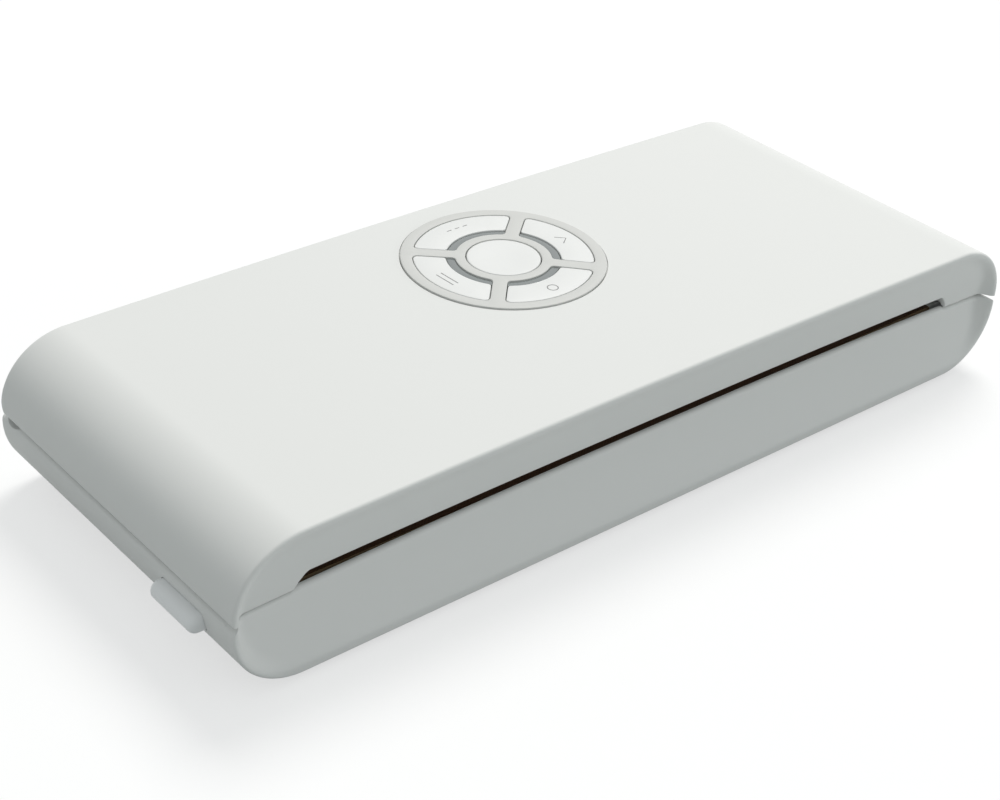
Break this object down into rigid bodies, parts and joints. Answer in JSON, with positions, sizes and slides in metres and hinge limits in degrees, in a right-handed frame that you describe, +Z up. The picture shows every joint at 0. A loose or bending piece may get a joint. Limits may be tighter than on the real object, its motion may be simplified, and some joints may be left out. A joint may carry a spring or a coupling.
{
  "type": "vacuum sealer",
  "caption": "Low white countertop vacuum sealer with a hinged lid, bag slot, heater bar, vacuum channel, round control panel and side releases.",
  "frame": {"origin": "centre of the footprint, on the surface the feet stand on", "axes": "+X along the length, -Y to the front with the bag slot, +Z up"},
  "size_m": [0.392, 0.1544, 0.0616],
  "materials": {
    "white_shell": "satin moulded white",
    "white_inner": "moulded white",
    "white_button": "satin",
    "release_plastic": "satin grey",
    "bezel_silver": "satin",
    "smoked_window": "smoked",
    "foam_grey": "closed foam",
    "rubber_dark": "matte",
    "silicone": "silicone",
    "clear_tube": "silicone",
    "heat_bar": "phenolic",
    "nichrome": "strip",
    "tape_brown": "coated cloth",
    "brass_part": "plain",
    "steel_part": "plain",
    "black_plastic": "moulded",
    "board_green": "lacquered",
    "copper_core": "wound",
    "wire_red": "insulation",
    "led_lens": "clear"
  },
  "bodies": {
    "base": {"base_shell": "white_shell", "front_apron": "white_shell", "base_deck": "white_inner", "vacuum_tray": "white_inner", "lower_gasket": "foam_grey", "heater_bar": "heat_bar", "heating_element": "nichrome", "sealing_tape": "tape_brown", "heater_terminals": "brass_part", "pump_motor": "steel_part", "pump_head": "black_plastic", "pump_bracket": "white_inner", "pump_hose": "clear_tube", "vacuum_port": "black_plastic", "power_board": "board_green", "transformer": "copper_core", "board_parts": "black_plastic", "inner_screws": "steel_part", "lid_switches": "black_plastic", "cord_gland": "rubber_dark", "base_harness": "wire_red", "feet": "rubber_dark", "base_screws": "steel_part", "hinge_pins": "steel_part", "release_springs": "steel_part"},
    "lid": {"lid_shell": "white_shell", "lid_liner": "white_inner", "gasket_rail": "white_inner", "upper_gasket": "foam_grey", "press_strip": "silicone", "press_holder": "black_plastic", "lid_hooks": "white_inner", "liner_screws": "steel_part", "control_bezel": "bezel_silver", "indicator_window": "smoked_window", "control_board": "board_green", "tact_switches": "black_plastic", "status_lights": "led_lens", "lid_harness": "wire_red"},
    "pump_shaft": {"pump_shaft": "steel_part"},
    "left_release": {"left_release": "release_plastic"},
    "right_release": {"right_release": "release_plastic"},
    "button_left": {"button_left": "white_button"},
    "button_front": {"button_front": "white_button"},
    "button_right": {"button_right": "white_button"},
    "button_back": {"button_back": "white_button"},
    "button_centre": {"button_centre": "white_button"}
  },
  "joints": [
    {"name": "lid_hinge", "type": "hinge", "parent": "base", "child": "lid", "pos_m": [0, 0.0692, 0.038], "axis": [-1, 0, 0], "range_deg": [0, 65]},
    {"name": "left_release_slide", "type": "slide", "parent": "base", "child": "left_release", "axis": [1, 0, 0], "range_m": [0, 0.0035], "stiffness_N_per_m": 600, "springref_m": -0.003},
    {"name": "right_release_slide", "type": "slide", "parent": "base", "child": "right_release", "axis": [-1, 0, 0], "range_m": [0, 0.0035], "stiffness_N_per_m": 600, "springref_m": -0.003},
    {"name": "pump_spin", "type": "hinge", "parent": "base", "child": "pump_shaft", "pos_m": [0.06, 0.04, 0.0156], "axis": [1, 0, 0], "continuous": true},
    {"name": "press_left", "type": "slide", "parent": "lid", "child": "button_left", "axis": [0, 0, -1], "range_m": [0, 0.0008], "stiffness_N_per_m": 500, "springref_m": -0.0005},
    {"name": "press_front", "type": "slide", "parent": "lid", "child": "button_front", "axis": [0, 0, -1], "range_m": [0, 0.0008], "stiffness_N_per_m": 500, "springref_m": -0.0005},
    {"name": "press_right", "type": "slide", "parent": "lid", "child": "button_right", "axis": [0, 0, -1], "range_m": [0, 0.0008], "stiffness_N_per_m": 500, "springref_m": -0.0005},
    {"name": "press_back", "type": "slide", "parent": "lid", "child": "button_back", "axis": [0, 0, -1], "range_m": [0, 0.0008], "stiffness_N_per_m": 500, "springref_m": -0.0005},
    {"name": "press_centre", "type": "slide", "parent": "lid", "child": "button_centre", "axis": [0, 0, -1], "range_m": [0, 0.0008], "stiffness_N_per_m": 500, "springref_m": -0.0005}
  ]
}
